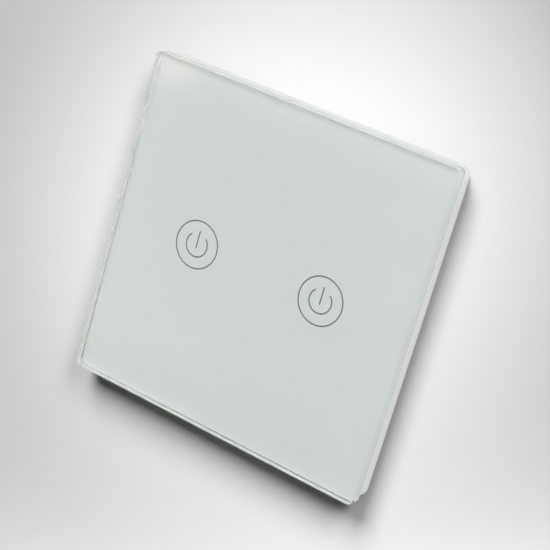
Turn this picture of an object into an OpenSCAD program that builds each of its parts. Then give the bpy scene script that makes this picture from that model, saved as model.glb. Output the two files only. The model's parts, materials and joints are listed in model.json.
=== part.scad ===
// Two-gang glass touch light switch for a wall box.
// X runs to the right, the glass faces -Y, +Z is up, and the wall is the plane y = 0.

/* [Glass panel] */
// Width and height of the glass
panel_w = 86; // [82:0.5:96]
// Thickness of the glass
glass_t = 3.5; // [2.5:0.25:5]
// Radius of the glass's upright corners
glass_corner_r = 1.2; // [0.6:0.1:5]
// Thickness of the printed layer behind the glass
film_t = 0.15; // [0.1:0.05:0.3]
// Margin of the printed layer inside the glass's edge
film_inset = 0.15; // [0.1:0.01:0.5]
// Margin of the glue seam inside the glass's edge
seam_inset = 0.03; // [0.01:0.01:0.06]

/* [Panel frame] */
// Depth of the white frame from the wall to the glass
frame_d = 4; // [3.6:0.1:6]
// Radius of the frame's upright corners
frame_corner_r = 3; // [2:0.25:7]
// Thickness of the frame's rim
frame_wall = 2; // [1.5:0.25:2.5]
// Thickness of the frame's floor behind the glass
frame_floor = 1; // [0.8:0.1:1.3]
// Width of the notch where a blade pries the panel off
pry_w = 10; // [6:1:16]
// Height of the pry notch from the wall
pry_h = 1.2; // [0.8:0.1:1.6]
// Width of a snap tongue
tongue_w = 8; // [5:1:12]
// Thickness of a snap tongue
tongue_t = 1.2; // [0.8:0.1:1.4]
// Distance between the two tongues of one edge
tongue_pitch = 40; // [30:1:50]
// How far a tongue's barb reaches towards the mounting plate
barb = 0.25; // [0.1:0.05:0.28]

/* [Touch signs] */
// Distance between the middles of the two signs
sign_pitch = 37; // [34:0.5:39]
// Height of the signs above the middle of the glass
sign_rise = 0.3; // [-3:0.1:3]
// Radius of the ring's line
ring_r = 6.1; // [5:0.1:8]
// Radius of the broken circle's line
arc_r = 3.1; // [2:0.1:4]
// Opening of the broken circle at the top, in degrees
arc_gap = 84; // [50:2:110]
// Height of the stroke's upper end above the sign's middle
bar_top = 3.65; // [3:0.05:4.5]
// Length of the stroke
bar_len = 4.55; // [3:0.05:6]
// Width of a line
line_w = 0.35; // [0.2:0.05:0.6]

/* [Mounting plate] */
// Distance between the middles of the two fixing slots
fixing_pitch = 60.3; // [59:0.1:62]
// Width of a fixing slot
slot_w = 4.2; // [3.6:0.1:4.8]
// End-to-end length of a fixing slot
slot_len = 7; // [5.5:0.25:8]
// Width of the pocket for a fixing screw's head
head_w = 8; // [7:0.25:9]
// Depth of the pocket for a fixing screw's head
head_d = 1.2; // [0.8:0.1:1.4]
// Radius of the plate's corners
plate_corner_r = 3; // [1.5:0.25:5]
// Depth of the seat that takes the rear box's mouth
seat_d = 0.8; // [0.5:0.1:1]

/* [Rear box] */
// Wall of the rear box
box_wall = 1.8; // [1.4:0.1:2.2]
// Radius of the rear box's corners
box_corner_r = 2; // [1:0.25:3]
// Width of a screw boss in the box's corners
boss_w = 6; // [5:0.25:7]
// Width of the ribs that carry the power board
rib_w = 6; // [4:0.5:7]
// How far a rib stands out from the wall
rib_h = 1.6; // [1:0.1:1.8]
// Radius of a housing screw's shank
screw_r = 1.2; // [0.9:0.05:1.4]
// Length of a housing screw's shank
screw_len = 11; // [8:0.5:14]
// Radius of a housing screw's head
screw_head_r = 2.2; // [1.8:0.1:2.6]
// Height of a housing screw's head
screw_head_h = 0.9; // [0.6:0.1:1]

/* [Touch board] */
// Depth of the touch board behind the rear box's mouth
touch_drop = 2.8; // [2:0.1:4]
// Thickness of the touch board
touch_t = 1.2; // [0.8:0.1:1.6]
// Outer radius of a light shroud
shroud_r = 4.2; // [3.8:0.1:4.6]
// Wall of a light shroud
shroud_wall = 0.6; // [0.4:0.1:0.8]
// Radius of a touch spring at the middle of its wire
spring_r = 2.8; // [2.2:0.1:2.9]
// Diameter of the touch spring's wire
spring_wire = 0.35; // [0.3:0.05:0.4]
// Rise of the touch spring in one turn
spring_pitch = 1; // [0.85:0.05:1.2]
// Length, width and height of an indicator lamp
led_size = [3.2, 1.6, 1.1]; // [0.8:0.1:3.6]
// Length, width and height of the touch chip
chip_size = [9.9, 3.9, 1.5]; // [1:0.1:12]
// Length, width and height of a small resistor
resistor_size = [1.6, 0.8, 0.5]; // [0.3:0.1:2]
// How many small resistors there are
resistor_count = 6; // [2:1:8]

/* [Power board] */
// Thickness of the power board
power_t = 1.6; // [1.2:0.1:2]
// Space between the two boards
board_gap = 7.6; // [7:0.1:10]
// How many pins join the two boards
pin_count = 5; // [3:1:6]
// Distance between two pins
pin_pitch = 2.54; // [2:0.01:2.8]
// Width of a square pin
pin_w = 0.64; // [0.5:0.02:0.7]
// Height of the plastic strip that holds the pins
header_h = 2.5; // [2:0.1:3]
// Length, height and depth of the transformer's core
core_size = [15, 12, 5]; // [4:0.5:16]
// Width of the core's middle leg
core_leg = 4.4; // [3.5:0.1:5]
// Thickness of the core's outer parts
core_yoke = 2; // [1.5:0.1:2.3]
// Length, height and depth of the film capacitor
film_cap_size = [10.5, 11, 5]; // [4:0.5:12]
// Radius of the bulk capacitor
bulk_r = 4; // [3:0.1:4.2]
// Height of the bulk capacitor
bulk_h = 11; // [8:0.5:12]
// Radius of the output capacitor
output_r = 3.15; // [2.5:0.05:3.3]
// Height of the output capacitor
output_h = 9; // [6:0.5:12]
// Radius of the varistor's disc
varistor_r = 3.5; // [2.5:0.1:4]
// Thickness of the varistor's disc
varistor_t = 3.6; // [2.5:0.1:4]
// Radius of the fuse resistor
fuse_r = 1.6; // [1.2:0.1:1.8]
// Length of the fuse resistor
fuse_len = 8; // [6:0.5:9]
// Length, height and depth of the rectifier bridge
bridge_size = [6.4, 2.6, 8.5]; // [2:0.1:10]
// Length, height and depth of the regulator chip
regulator_size = [4.9, 1.5, 3.9]; // [1:0.1:6]

/* [Terminals] */
// How many wires the switch takes
pole_count = 4; // [2:1:4]
// Distance between two poles
pole_pitch = 10; // [9:0.25:10.5]
// Radius of a wire entry
wire_r = 1.7; // [1.2:0.05:1.8]
// Thickness of the wall that a wire enters through
entry_wall = 2.5; // [1.5:0.1:3]
// Radius of a terminal screw's shank
clamp_screw_r = 1.25; // [1:0.05:1.5]
// Radius of a terminal screw's head
clamp_head_r = 2.4; // [2:0.1:2.7]
// Height of a terminal screw's head
clamp_head_h = 1.55; // [1.2:0.05:1.8]
// Depth of the well that holds a terminal screw's head
well_d = 2.4; // [2:0.1:3]
// Thickness of the shoulder that the screw's head turns on
shoulder_t = 0.8; // [0.6:0.1:1.2]
// Travel of a clamp cage
cage_travel = 1.5; // [1:0.1:1.8]
// Length of a clamp cage along its wire
cage_len = 6.5; // [5.6:0.1:7]
// Width of a clamp cage
cage_w = 6; // [5.6:0.1:6.4]
// Thickness of a cage's side walls
cage_side = 0.7; // [0.5:0.05:0.8]
// Thickness of the cage's wall that lifts the wire
cage_front = 1; // [0.8:0.1:1.3]
// Thickness of the cage's threaded wall
cage_rear = 1.5; // [1.2:0.1:2]
// Thickness of a terminal tab
tab_t = 1; // [0.8:0.1:1.2]
// Width of a terminal tab
tab_w = 4; // [3:0.1:4.1]

/* [Relays] */
// Width, height and length of a relay's cover
relay_size = [10.4, 14, 19]; // [10:0.2:20]
// Wall of a relay's cover
relay_wall = 0.7; // [0.5:0.05:0.8]
// Thickness of a relay's base
relay_base_t = 1.6; // [1.2:0.1:1.8]
// Thickness of a relay's iron parts
iron_t = 1; // [0.8:0.05:1.1]
// Width of a relay's iron parts
iron_w = 6.8; // [5.5:0.1:7]
// Radius of a relay's coil
coil_r = 3.9; // [3.3:0.1:4]
// Length of a relay's coil
coil_h = 5; // [4:0.1:5.4]
// Radius of a relay's core
core_r = 1.5; // [1:0.1:1.8]
// Gap between a relay's core and its resting armature
pole_gap = 0.65; // [0.6:0.05:1]
// Radius of a relay's contacts
contact_r = 1.2; // [0.8:0.1:1.4]
// Thickness of a relay's contacts
contact_t = 0.5; // [0.3:0.05:0.55]

/* [Hidden] */
$fn = 48;
// Clearances
plate_gap = 0.45;      // frame floor to mounting plate
edge_gap = 2;          // frame rim to mounting plate, where the tongues go
tongue_gap = 0.3;      // tongue to the mounting plate's edge
tongue_end = 0.3;      // tongue's end to the wall
seat_gap = 0.2;        // rear box to the edge of its seat
board_clear = 0.3;     // boards to the rear box's walls
board_edge = 0.2;      // shroud to the touch board's edge
shroud_gap = 0.3;      // shroud to the holes that it passes through
touch_gap = 0.3;       // touch spring to the printed layer
seam_gap = 0.02;       // glue seam to the printed layer
fit = 0.05;            // turning and threaded fits
slip = 0.1;            // parts that only slip into each other
cage_gap = 0.2;        // cage to its chamber, its tab and its wire
tab_gap = 0.3;         // cage's threaded wall to the tab
block_gap = 2.4;       // power board to the terminal block
relay_top = 0.6;       // relay to the rear box's floor
relay_side = 1.25;     // relay to the rear box's side wall
relay_tab = 1;         // relay to the terminal tabs
part_gap = 0.8;        // between neighbours on the power board
hinge_gap = 0.1;       // relay armature to its iron frame
bite = 0.3;            // overlap that joins the solids of one piece
cut = 1;               // how far a cut runs past the surface
window_gap = 0.5;      // frame's windows to the fixing pockets
pin_gap = 0.13;        // pin to the socket's hole

// Depths, from the glass towards the back
glass_back = -frame_d;
glass_front = glass_back - glass_t;
frame_front = glass_back + film_t;
floor_back = frame_front + frame_floor;
plate_t = -floor_back - plate_gap;
touch_front = touch_drop - seat_d;
touch_back = touch_front + touch_t;
power_front = touch_back + board_gap;
power_back = power_front + power_t;

// Terminal stack, counted from the terminal block's rear face
shoulder_in = well_d + shoulder_t;
cage_back_in = shoulder_in + slip + cage_travel;
tab_back_in = cage_back_in + cage_rear + tab_gap;
wire_in = tab_back_in + tab_t + cage_gap + wire_r;
cage_front_in = wire_in + wire_r + cage_gap + cage_front;
chamber_in = cage_front_in + 2 * cage_gap;
block_wall = 1.2;
block_d = chamber_in + block_wall;

// Rear box
box_back = power_back + max(relay_size[1] + relay_top + box_wall, block_gap + block_d);
box_w = sign_pitch + 2 * (shroud_r + board_edge + board_clear + box_wall);
box_in = box_w / 2 - box_wall;
boss_at = box_in - boss_w / 2;
post_r = boss_w / 2 - 2 * seat_gap;
screw_seat = screw_head_h - plate_t;
screw_end = screw_seat + screw_len;
board_half = box_in - board_clear;
plate_w = panel_w - 2 * (frame_wall + edge_gap);

// Terminal block
pole_x = [for (i = [0 : pole_count - 1]) (i - (pole_count - 1) / 2) * pole_pitch];
chamber_w = cage_w + 2 * cage_gap;
chamber_end = 1;
chamber_len = cage_len + 2 * chamber_end;
block_w = pole_count * pole_pitch + 1;
block_top_wall = 2;
block_bottom = -box_w / 2;
block_h = entry_wall + chamber_len + block_top_wall;
block_top = block_bottom + block_h;
block_front = box_back - block_d;
cage_z = block_bottom + entry_wall + chamber_end + cage_len / 2;
tab_rise = 1.5;
tab_top = block_top + tab_rise;

// Relays
relay_x = box_in - relay_side - relay_size[0] / 2;
relay_z = tab_top + relay_tab + relay_size[2] / 2;
relay_floor = power_back + relay_base_t;
iron_off = 1.2;
iron_z = relay_z + iron_off;
flange_t = 0.8;
flange_lip = 0.4;
flange_r = coil_r + flange_lip;
flange_gap = 0.5;
core_z = iron_z - flange_r - flange_gap;
coil_low = relay_floor + iron_t + flange_t;
core_top = coil_low + coil_h + flange_t + flange_lip;
iron_top = core_top + pole_gap - hinge_gap;
armature_y = core_top + pole_gap;
hinge_y = iron_top - iron_t / 2;
hinge_z = iron_z + iron_t / 2;
leg_gap = 0.7;
leg_z = iron_z + iron_t + leg_gap;
leg_t = 0.8;
leg_w = 5;
leg_foot = 1.8;
leg_low = relay_floor + leg_foot;
contact_y = leg_low + contact_r;
contact_gap = 0.55;
blade_z = leg_z + leg_t + 2 * contact_t + contact_gap;
blade_t = 0.7;
blade_w = 4;
blade_over = 0.6;
blade_top = contact_y + contact_r + blade_over;

// Row of parts above the relays
row_z = relay_z + relay_size[2] / 2 + part_gap;
film_cap_x = film_cap_size[0] / 2 + part_gap + boss_w - box_in;
bulk_x = film_cap_x + film_cap_size[0] / 2 + part_gap + bulk_r;
output_x = bulk_x + bulk_r + part_gap + output_r;
varistor_x = output_x + output_r + part_gap + varistor_r;
transformer_off = -1;
transformer_z = relay_z + transformer_off;

// Parts on the power board's front
fuse_at = [-12, -9];
bridge_at = [-12, 5];
regulator_at = [11, 4];

// Parts on the touch board's back
chip_z = -6;
resistor_z = -12;
resistor_pitch = 3;

// Strip that joins the boards
strip_len = pin_count * pin_pitch;
strip_w = 2.5;
strip_z = 13;
pin_hole_w = pin_w + 2 * pin_gap;
socket_h = board_gap - header_h - slip;
socket_floor = 1;
pin_reach = socket_h - socket_floor - 2 * slip;

// Touch springs: foot, coil and tip as one line of points
spring_h = touch_front - frame_front - touch_gap;
spring_bend = 6;
spring_step = 2 * PI * spring_r / 8;
spring_foot = spring_wire;
spring_slope = atan2(spring_pitch, 2 * PI * spring_r);
bend_step = 0.09;
bend_rise = bend_step * sum_sin(1);
spring_coil_h = spring_h - 2 * spring_foot - 2 * bend_rise;
spring_coil_n = floor(spring_coil_h / (spring_step * sin(spring_slope)));
spring_coil_step = spring_coil_h / (spring_coil_n * sin(spring_slope));

// Sum of the sines of a bend's slopes, from the upright foot down to the coil's slope
function bend_angle(i) = 90 - (90 - spring_slope) * i / (spring_bend + 1);
function sum_sin(i) = i > spring_bend ? 0 : sin(bend_angle(i)) + sum_sin(i + 1);

// Slope and length of each step along the spring's wire
function spring_slopes() = concat(
  [[90, spring_foot]],
  [for (i = [1 : spring_bend]) [bend_angle(i), bend_step]],
  [for (i = [1 : spring_coil_n]) [spring_slope, spring_coil_step]],
  [for (i = [spring_bend : -1 : 1]) [bend_angle(i), bend_step]],
  [[90, spring_foot]]
);

// Turn and height reached after each step
function spring_walk(steps) = [
  for (i = 0, turn = 0, rise = 0; i <= len(steps);
       turn = turn + (i < len(steps) ? steps[i][1] * cos(steps[i][0]) / spring_r * 180 / PI : 0),
       rise = rise + (i < len(steps) ? steps[i][1] * sin(steps[i][0]) : 0),
       i = i + 1)
  [turn, rise, steps[min(i, len(steps) - 1)][0]]
];

function spring_point(step) = [spring_r * cos(step[0]), spring_r * sin(step[0]), step[1]];

// One ring of the wire's six sides, square to the wire
function spring_ring(step) = [
  for (k = [0 : 5])
  let (out = [cos(step[0]), sin(step[0]), 0])
  let (slope = step[2])
  let (along = [-sin(step[0]) * cos(slope), cos(step[0]) * cos(slope), sin(slope)])
  spring_point(step) + spring_wire / 2 * (cos(60 * k) * out + sin(60 * k) * cross(along, out))
];

// Least distance between points of the wire that lie over half a turn apart
function spring_gap(walk) = min([
  for (i = [0 : len(walk) - 1]) for (j = [i + 1 : len(walk) - 1])
  if (walk[j][0] - walk[i][0] > 180) norm(spring_point(walk[i]) - spring_point(walk[j]))
]) - spring_wire;

// Square with round corners, made of exact arcs
module round_square(w, r) {
  square([w, w - 2 * r], center = true);
  square([w - 2 * r, w], center = true);
  for (x = [-1, 1], z = [-1, 1])
    translate([x * (w / 2 - r), z * (w / 2 - r)]) circle(r);
}

// Upright plate that starts at depth y and is t thick
module round_plate(w, r, y, t) {
  translate([0, y + t, 0]) rotate([90, 0, 0]) linear_extrude(t) round_square(w, r);
}

// Block that is centred on x and z and starts at depth y
module block(x, y, z, w, d, h) {
  translate([x - w / 2, y, z - h / 2]) cube([w, d, h]);
}

// Rod along the depth that starts at depth y
module rod(x, y, z, r, len) {
  translate([x, y, z]) rotate([-90, 0, 0]) cylinder(r = r, h = len);
}

// Slot with round ends along x, cut along the depth
module slot(x, y, w, len, d) {
  block(x, y, 0, len - w, d, w);
  for (side = [-1, 1])
    rod(x + side * (len - w) / 2, y, 0, w / 2, d);
}

module at_corners(d) {
  for (x = [-1, 1], z = [-1, 1])
    translate([x * d, 0, z * d]) children();
}

// Lines of one touch sign: ring, broken circle and stroke
module sign_lines(side) {
  translate([side * sign_pitch / 2, glass_back + film_t, sign_rise]) rotate([90, 0, 0]) {
    difference() {
      cylinder(r = ring_r + line_w / 2, h = film_t);
      translate([0, 0, -cut]) cylinder(r = ring_r - line_w / 2, h = film_t + 2 * cut);
    }
    rotate([0, 0, 90 + arc_gap / 2]) rotate_extrude(angle = 360 - arc_gap)
      translate([arc_r - line_w / 2, 0]) square([line_w, film_t]);
    translate([-line_w / 2, bar_top - bar_len, 0]) cube([line_w, bar_len, film_t]);
  }
}

module glass_panel() {
  color("#d3dad5") round_plate(panel_w, glass_corner_r, glass_front, glass_t);
}

module printed_film() {
  color("#d0d6d1") difference() {
    round_plate(panel_w - 2 * film_inset, glass_corner_r, glass_back, film_t);
    for (side = [-1, 1]) sign_lines(side);
  }
}

// Bead of glue between the glass and the frame, round the printed layer
module glue_seam() {
  color("#5c665f") difference() {
    round_plate(panel_w - 2 * seam_inset, glass_corner_r, glass_back, film_t);
    round_plate(panel_w - 2 * (film_inset - seam_gap), glass_corner_r,
                glass_back - cut, film_t + 2 * cut);
  }
}

module touch_sign(side) {
  color("#788279") sign_lines(side);
}

// Springy tongue with its barb, on the upper edge for side 1 and the lower edge for side -1
module snap_tongue(x, side) {
  tongue_len = -floor_back - tongue_end;
  inner = plate_w / 2 + tongue_gap;
  translate([x, floor_back, 0]) mirror([0, 0, side > 0 ? 0 : 1]) {
    translate([-tongue_w / 2, -bite, inner]) cube([tongue_w, tongue_len + bite, tongue_t]);
    translate([-tongue_w / 2, tongue_len, inner]) rotate([90, 0, 90]) linear_extrude(tongue_w)
      polygon([[0, 0], [0, tongue_t / 2], [-3 * barb, tongue_t / 2], [-3 * barb, -barb]]);
  }
}

module panel_frame() {
  window_len = slot_len + head_w - slot_w + 2 * window_gap;
  window_w = head_w + 2 * window_gap;
  color("#f2f3f0") {
    difference() {
      round_plate(panel_w, frame_corner_r, frame_front, -frame_front);
      round_plate(panel_w - 2 * frame_wall, frame_corner_r - frame_wall / 2, floor_back, frame_d);
      for (side = [-1, 1]) {
        rod(side * sign_pitch / 2, frame_front - cut, sign_rise,
            shroud_r + shroud_gap, frame_floor + 2 * cut);
        block(side * fixing_pitch / 2, frame_front - cut, 0, window_len, frame_floor + 2 * cut, window_w);
      }
      block(0, -pry_h, -panel_w / 2, pry_w, frame_d, 3 * frame_wall);
    }
    for (x = [-1, 1], side = [-1, 1]) snap_tongue(x * tongue_pitch / 2, side);
  }
}

// Plate with four posts on its back, which hold the touch board against the rear box's bosses
module mounting_plate() {
  color("#e9eae6") difference() {
    union() {
      difference() {
        round_plate(plate_w, plate_corner_r, -plate_t, plate_t);
        round_plate(box_w + 2 * seat_gap, box_corner_r + seat_gap, -seat_d, seat_d + cut);
      }
      at_corners(boss_at) rod(0, -seat_d - bite, 0, post_r, touch_drop + bite);
    }
    for (side = [-1, 1]) {
      slot(side * fixing_pitch / 2, -plate_t - cut, slot_w, slot_len, plate_t + 2 * cut);
      slot(side * fixing_pitch / 2, -plate_t - cut, head_w, slot_len + head_w - slot_w, head_d + cut);
      rod(side * sign_pitch / 2, -plate_t - cut, sign_rise, shroud_r + shroud_gap, plate_t + 2 * cut);
    }
    at_corners(boss_at) {
      rod(0, -plate_t - cut, 0, screw_r + slip, plate_t + touch_drop + 2 * cut);
      rod(0, -plate_t - cut, 0, screw_head_r + slip, screw_head_h + cut);
    }
  }
}

// Ribs that the power board lies on: one on the top wall and one on each side wall
module board_ribs() {
  rib_d = box_back - box_wall - power_back + bite;
  low_d = block_front - slip - power_back;
  side_z = row_z + rib_w / 2;
  root = rib_h + bite;
  middle = box_in + bite - root / 2;
  block(0, power_back, middle, rib_w, rib_d, root);
  for (side = [-1, 1])
    block(side * middle, power_back, side_z, root, rib_d, rib_w);
  block(0, power_back, -middle, rib_w, low_d, root);
}

module rear_box() {
  boss_root = boss_w + bite;
  boss_d = box_back - box_wall - touch_back + bite;
  color("#dcdedb") difference() {
    union() {
      difference() {
        round_plate(box_w, box_corner_r, -seat_d, box_back + seat_d);
        block(0, -seat_d - cut, 0, 2 * box_in, box_back - box_wall + seat_d + cut, 2 * box_in);
      }
      at_corners(box_in + bite - boss_root / 2) block(0, touch_back, 0, boss_root, boss_d, boss_root);
      board_ribs();
    }
    translate([-block_w / 2 - slip, block_front - slip, block_bottom - cut])
      cube([block_w + 2 * slip, block_d + slip + cut, block_h + slip + cut]);
    at_corners(boss_at) rod(0, touch_back - cut, 0, screw_r + fit, screw_end + slip - touch_back + cut);
  }
}

// Four screws that hold the mounting plate, the touch board and the rear box together
module housing_screws() {
  drive_w = 0.5;
  drive_len = 1.2 * screw_head_r;
  drive_d = screw_head_h / 2;
  color("#b9bcbd") at_corners(boss_at) difference() {
    union() {
      rod(0, -plate_t, 0, screw_r, screw_len + screw_head_h);
      rod(0, -plate_t, 0, screw_head_r, screw_head_h);
    }
    for (turn = [0, 90]) rotate([0, turn, 0])
      block(0, -plate_t - cut, 0, drive_len, drive_d + cut, drive_w);
  }
}

module touch_board() {
  color("#2f6b3f") difference() {
    block(0, touch_front, 0, 2 * board_half, touch_t, 2 * board_half);
    at_corners(boss_at) rod(0, touch_front - cut, 0, screw_r + slip, touch_t + 2 * cut);
  }
}

module touch_spring(side) {
  walk = spring_walk(spring_slopes());
  rings = len(walk);
  points = [for (step = walk) each spring_ring(step)];
  sides = [
    for (i = [0 : rings - 2]) for (k = [0 : 5])
    let (a = 6 * i + k, b = 6 * i + (k + 1) % 6)
    each [[a, a + 6, b], [b, a + 6, b + 6]]
  ];
  ends = [
    for (k = [1 : 4])
    each [[0, k, k + 1], [6 * rings - 6, 6 * rings - 6 + k + 1, 6 * rings - 6 + k]]
  ];
  echo(least_gap_between_the_springs_turns = spring_gap(walk));
  color("#c3a24d") translate([side * sign_pitch / 2, touch_front, sign_rise]) rotate([90, 0, 0])
    polyhedron(points, concat(sides, ends));
}

module light_shroud(side) {
  shroud_len = touch_front - frame_front - touch_gap / 2;
  x = side * sign_pitch / 2;
  color("#f4f4ee") difference() {
    rod(x, touch_front - shroud_len, sign_rise, shroud_r, shroud_len);
    rod(x, touch_front - shroud_len - cut, sign_rise, shroud_r - shroud_wall, shroud_len + 2 * cut);
  }
}

module indicator_leds() {
  color("#e8e4c8") for (side = [-1, 1])
    block(side * sign_pitch / 2, touch_front - led_size[2], sign_rise,
          led_size[0], led_size[2], led_size[1]);
}

module touch_chip() {
  color("#1d1e20") block(0, touch_back, chip_z, chip_size[0], chip_size[2], chip_size[1]);
}

module touch_resistors() {
  color("#2a2b2d") for (i = [0 : resistor_count - 1])
    block((i - (resistor_count - 1) / 2) * resistor_pitch, touch_back, resistor_z,
          resistor_size[0], resistor_size[2], resistor_size[1]);
}

module at_pins() {
  for (i = [0 : pin_count - 1])
    translate([(i - (pin_count - 1) / 2) * pin_pitch, 0, strip_z]) children();
}

module socket_strip() {
  color("#232427") difference() {
    block(0, touch_back, strip_z, strip_len, socket_h, strip_w);
    at_pins() block(0, touch_back + socket_floor, 0, pin_hole_w, socket_h, pin_hole_w);
  }
}

module header_strip() {
  color("#2b2c2f") {
    block(0, power_front - header_h, strip_z, strip_len, header_h, strip_w);
    at_pins() block(0, power_front - header_h - pin_reach, 0, pin_w, pin_reach + bite, pin_w);
  }
}

module power_board() {
  notch = boss_w + board_clear;
  color("#b08a4a") difference() {
    block(0, power_front, 0, 2 * board_half, power_t, 2 * board_half);
    at_corners(box_in - notch / 2) block(0, power_front - cut, 0, notch, power_t + 2 * cut, notch);
  }
}

module transformer_core() {
  window = (core_size[0] - core_leg) / 2 - core_yoke;
  color("#3a3c40") difference() {
    block(0, power_back, transformer_z, core_size[0], core_size[1], core_size[2]);
    for (side = [-1, 1])
      block(side * (core_leg + window) / 2, power_back + core_yoke, transformer_z,
            window, core_size[1] - 2 * core_yoke, core_size[2] + 2 * cut);
  }
}

module transformer_winding() {
  window = (core_size[0] - core_leg) / 2 - core_yoke;
  reach = window - slip;
  low = power_back + core_yoke + slip;
  high = core_size[1] - 2 * core_yoke - 2 * slip;
  color("#c9a227") difference() {
    block(0, low, transformer_z, core_leg + 2 * reach, high, core_size[2] + 2 * reach);
    block(0, low - cut, transformer_z, core_leg + 2 * slip, high + 2 * cut, core_size[2] + 2 * slip);
  }
}

module film_capacitor() {
  color("#d9b13a") block(film_cap_x, power_back, row_z + film_cap_size[2] / 2,
                         film_cap_size[0], film_cap_size[1], film_cap_size[2]);
}

// Can with a groove above its base, as an electrolytic capacitor has
module capacitor_can(x, r, h) {
  groove = 0.4;
  groove_up = 1.5;
  difference() {
    rod(x, power_back, row_z + r, r, h);
    translate([x, power_back + groove_up, row_z + r]) rotate([-90, 0, 0]) difference() {
      cylinder(r = r + cut, h = 2 * groove);
      translate([0, 0, -cut]) cylinder(r = r - groove, h = 2 * groove + 2 * cut);
    }
  }
}

module bulk_capacitor() {
  color("#23304a") capacitor_can(bulk_x, bulk_r, bulk_h);
}

module output_capacitor() {
  color("#2a2a30") capacitor_can(output_x, output_r, output_h);
}

module varistor() {
  color("#2d5f9e") translate([varistor_x, power_back + varistor_r, row_z])
    cylinder(r = varistor_r, h = varistor_t);
}

module fuse_resistor() {
  color("#6f8f5a") translate([fuse_at[0] - fuse_len / 2, power_front - fuse_r, fuse_at[1]])
    rotate([0, 90, 0]) cylinder(r = fuse_r, h = fuse_len);
}

module rectifier_bridge() {
  color("#1f2022") block(bridge_at[0], power_front - bridge_size[1], bridge_at[1],
                         bridge_size[0], bridge_size[1], bridge_size[2]);
}

module regulator_chip() {
  color("#1f2022") block(regulator_at[0], power_front - regulator_size[1], regulator_at[1],
                         regulator_size[0], regulator_size[1], regulator_size[2]);
}

module relay_base(side) {
  color("#1f3f7a") block(side * relay_x, power_back, relay_z, relay_size[0] - 2 * relay_wall - slip,
                         relay_base_t, relay_size[2] - 2 * relay_wall - slip);
}

// Iron frame of a relay: foot, core, and back leg with the round edge that the armature tilts on
module relay_yoke(side) {
  x = side * relay_x;
  foot = iron_z + iron_t - core_z + core_r + iron_t;
  color("#8d9092") {
    block(x, relay_floor, iron_z + iron_t - foot / 2, iron_w, iron_t, foot);
    block(x, relay_floor, hinge_z, iron_w, hinge_y - relay_floor, iron_t);
    translate([x - iron_w / 2, hinge_y, hinge_z]) rotate([0, 90, 0]) cylinder(r = iron_t / 2, h = iron_w);
    rod(x, relay_floor + iron_t - bite, core_z, core_r, core_top - relay_floor - iron_t + bite);
  }
}

// Bobbin and wound coil of a relay
module relay_coil(side) {
  x = side * relay_x;
  low = coil_low - flange_t;
  color("#a8552c") difference() {
    union() {
      rod(x, coil_low, core_z, coil_r, coil_h);
      for (y = [low, coil_low + coil_h]) rod(x, y, core_z, flange_r, flange_t);
    }
    rod(x, low - cut, core_z, core_r + fit, coil_h + 2 * flange_t + 2 * cut);
  }
}

module relay_contact(side) {
  x = side * relay_x;
  color("#c98f45") {
    block(x, relay_floor, blade_z + blade_t / 2, blade_w, blade_top - relay_floor, blade_t);
    translate([x, contact_y, blade_z - contact_t]) cylinder(r = contact_r, h = contact_t + bite);
  }
}

module relay_cover(side) {
  x = side * relay_x;
  lift = 0.3;
  color("#2456a6") difference() {
    block(x, power_back + lift, relay_z, relay_size[0], relay_size[1] - lift, relay_size[2]);
    block(x, power_back + lift - cut, relay_z, relay_size[0] - 2 * relay_wall,
          relay_size[1] - lift - relay_wall + cut, relay_size[2] - 2 * relay_wall);
  }
}

// Armature plate over the core, with the leg that carries the moving contact
module relay_armature(side) {
  x = side * relay_x;
  far = core_z - core_r - iron_t;
  near = leg_z + leg_t;
  color("#9da0a2") {
    block(x, armature_y, (far + near) / 2, iron_w, iron_t, near - far);
    block(x, leg_low, leg_z + leg_t / 2, leg_w, armature_y - leg_low + bite, leg_t);
    translate([x, contact_y, leg_z + leg_t - bite]) cylinder(r = contact_r, h = contact_t + bite);
  }
}

module terminal_block() {
  back = box_back;
  color("#e4e5e2") difference() {
    translate([-block_w / 2, block_front, block_bottom]) cube([block_w, block_d, block_h]);
    for (x = pole_x) {
      block(x, back - chamber_in, cage_z, chamber_w, chamber_in - shoulder_in, chamber_len);
      translate([x, back - wire_in, block_bottom - cut]) cylinder(r = wire_r, h = entry_wall + 2 * cut);
      rod(x, back - shoulder_in - cut, cage_z, clamp_screw_r + fit, shoulder_t + 2 * cut);
      rod(x, back - well_d, cage_z, clamp_head_r + cage_gap, well_d + cut);
      translate([x - tab_w / 2 - cage_gap, back - tab_back_in - tab_t - slip, cage_z])
        cube([tab_w + 2 * cage_gap, tab_t + 2 * slip, block_h]);
    }
  }
}

// Tab that the wire is clamped to, with its foot on the power board
module terminal_tab(i) {
  x = pole_x[i - 1];
  back = box_back - tab_back_in;
  tab_in = 0.5;
  low = cage_z - cage_len / 2 + tab_in;
  color("#c9a45c") {
    translate([x - tab_w / 2, back - tab_t, low]) cube([tab_w, tab_t, tab_top - low]);
    translate([x - tab_w / 2, power_back, tab_top - tab_t]) cube([tab_w, back - power_back, tab_t]);
  }
}

// Sleeve that the screw draws back, so that its front wall presses the wire to the tab
module clamp_cage(i) {
  x = pole_x[i - 1];
  front = box_back - cage_front_in;
  depth = cage_front_in - cage_back_in;
  color("#c2b280") difference() {
    block(x, front, cage_z, cage_w, depth, cage_len);
    block(x, front + cage_front, cage_z,
          cage_w - 2 * cage_side, depth - cage_front - cage_rear, cage_len + 2 * cut);
    rod(x, front + depth - cage_rear - cut, cage_z, clamp_screw_r + fit, cage_rear + 2 * cut);
  }
}

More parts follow.
